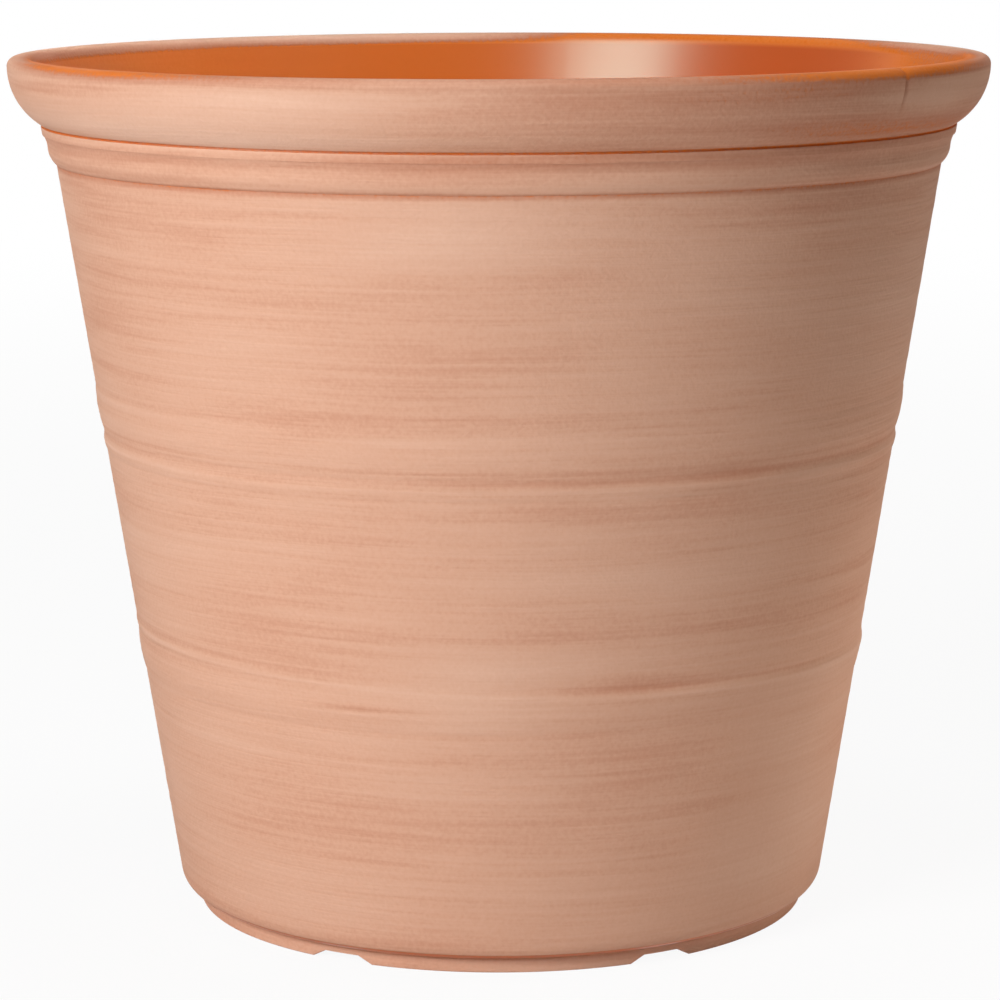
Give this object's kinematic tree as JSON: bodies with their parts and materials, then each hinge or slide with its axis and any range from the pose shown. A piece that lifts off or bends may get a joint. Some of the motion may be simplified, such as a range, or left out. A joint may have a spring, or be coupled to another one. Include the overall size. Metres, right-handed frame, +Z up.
{
  "type": "plastic planter",
  "caption": "Round tapered plastic planter with a rolled rim, a bead band, shallow throwing rings, a notched foot ring and a lift-out slotted drain grate.",
  "frame": {"origin": "centre of the foot ring's lower face, on the ground", "axes": "+Z up along the pot's axis; the picture looks along +Y"},
  "size_m": [0.35, 0.3499, 0.308],
  "materials": {
    "pot_plastic": "brushed whitewash over terracotta-orange plastic outside, bare glossy orange inside",
    "grate_plastic": "plain moulded, satin"
  },
  "bodies": {
    "pot": {"pot": "pot_plastic"},
    "grate": {"drain_grate": "grate_plastic"}
  },
  "joints": [
    {"name": "grate_lift", "type": "slide", "parent": "pot", "child": "grate", "axis": [0, 0, 1], "range_m": [0, 0.305]}
  ]
}
